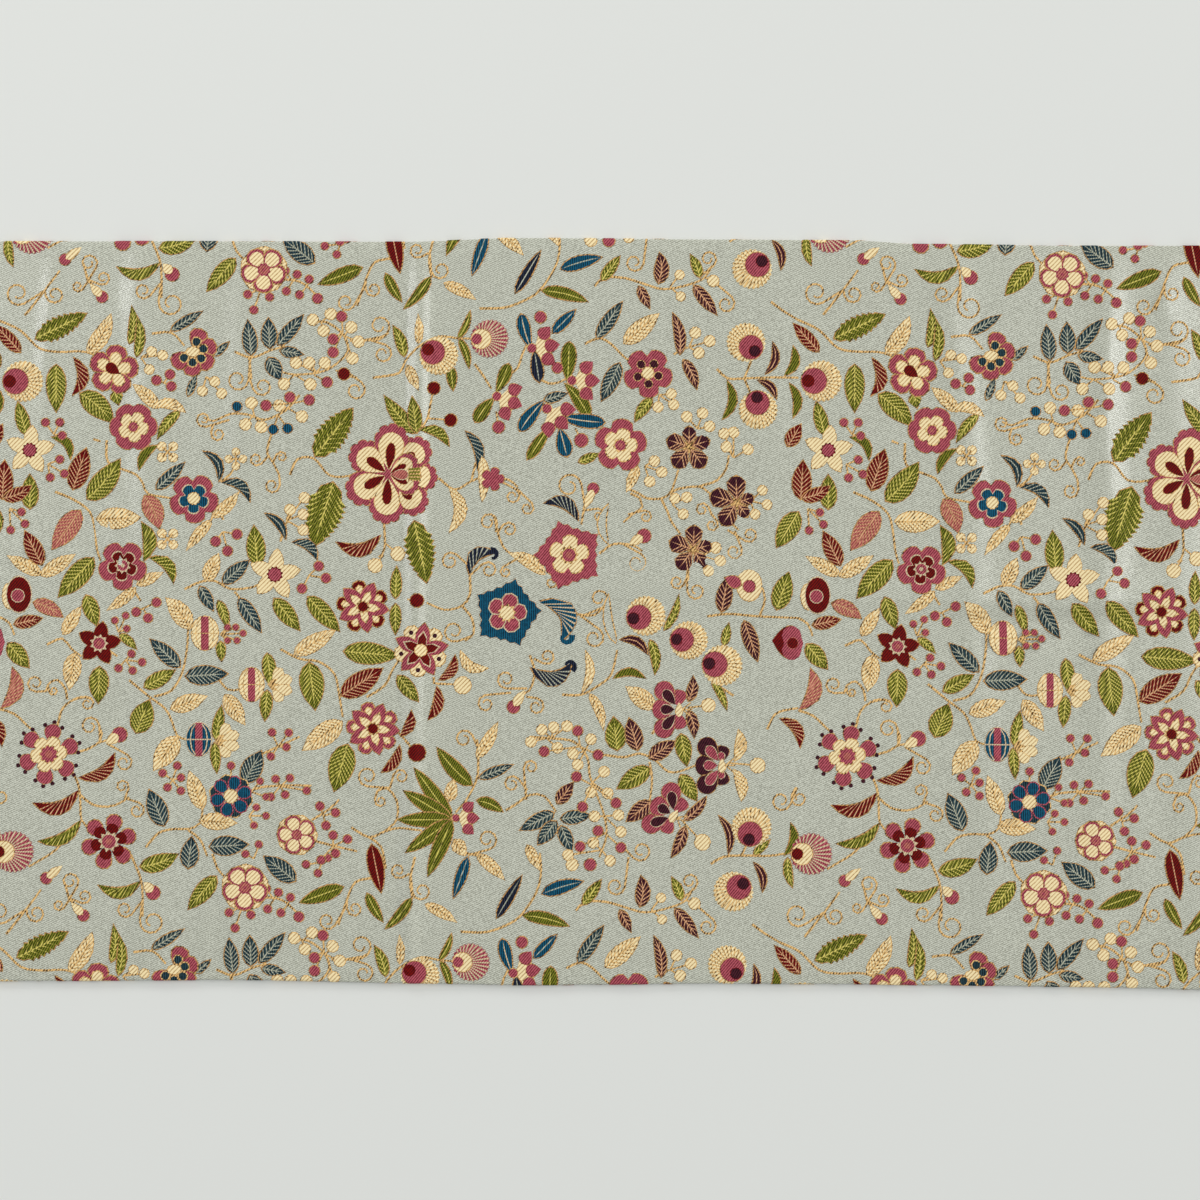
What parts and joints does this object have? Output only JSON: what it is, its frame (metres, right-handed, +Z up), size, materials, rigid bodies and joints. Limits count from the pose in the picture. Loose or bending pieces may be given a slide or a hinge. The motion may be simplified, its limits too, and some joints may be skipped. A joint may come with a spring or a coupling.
{
  "type": "obi sash",
  "caption": "Full-width obi sash laid out flat: a brocade front cloth turned under all round and slip-stitched to a plain back cloth.",
  "frame": {"origin": "on the surface it lies on, under the middle of the sash", "axes": "+X along the sash, +Y across it, +Z up from the surface"},
  "size_m": [4.3, 0.3154, 0.005],
  "materials": {
    "front_cloth": "silvery grey-green silk twill ground with a multicoloured flower and vine brocade",
    "back_cloth": "plain pale grey-beige silk, fine weave, soft sheen"
  },
  "bodies": {
    "root": {"front_cloth": "front_cloth", "back_cloth": "back_cloth"}
  },
  "joints": []
}
